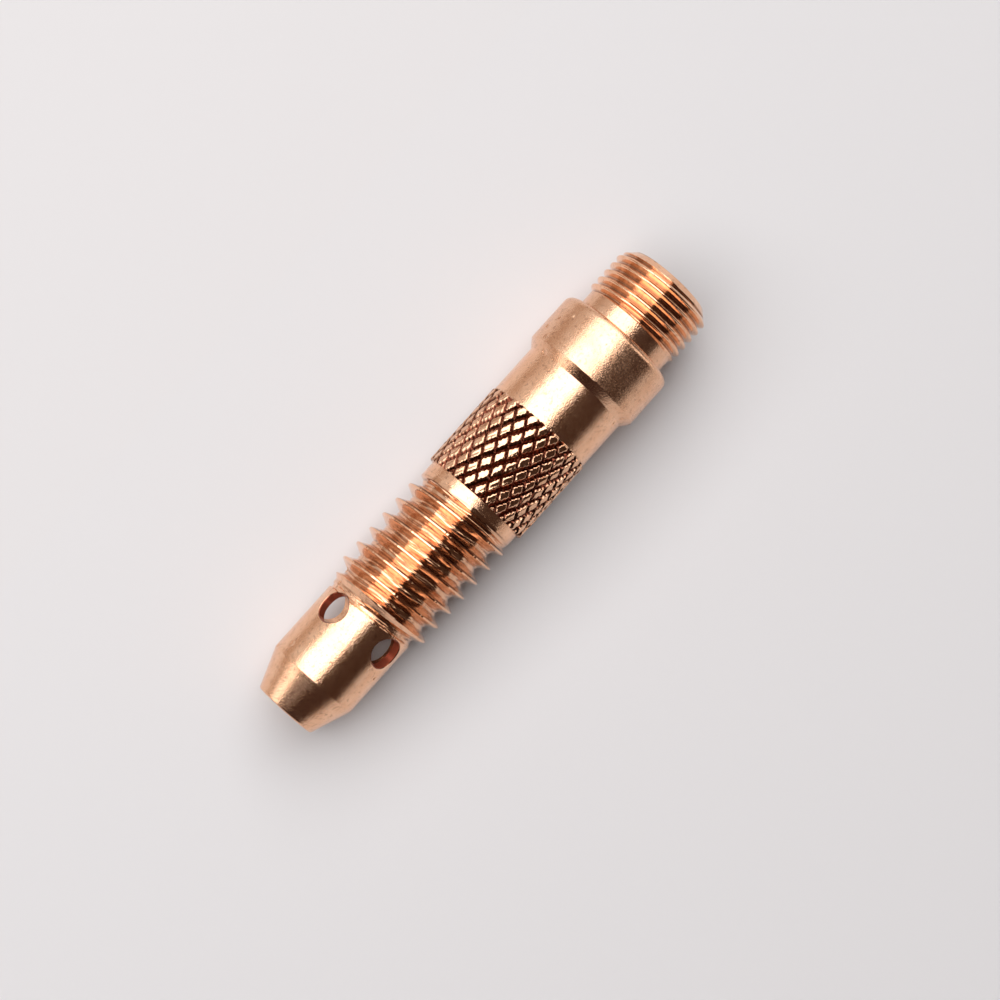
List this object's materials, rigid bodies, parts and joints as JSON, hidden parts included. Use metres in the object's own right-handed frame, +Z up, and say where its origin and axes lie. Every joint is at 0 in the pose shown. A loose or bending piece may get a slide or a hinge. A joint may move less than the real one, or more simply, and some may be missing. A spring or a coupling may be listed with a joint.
{
  "type": "welding torch collet body",
  "caption": "Copper collet body of a TIG torch: drilled nose with gas holes, coarse nozzle thread, diamond-knurled grip, collar and fine head thread.",
  "frame": {"origin": "on the axis, in the rear face of the collar, which seats against the torch head", "axes": "+X along the axis, from the tip to the threaded rear end; +Z up, as the part lies on a bench"},
  "size_m": [0.047, 0.0108, 0.0108],
  "materials": {
    "copper": "bright turned copper"
  },
  "bodies": {
    "root": {"collet_body": "copper"}
  },
  "joints": []
}
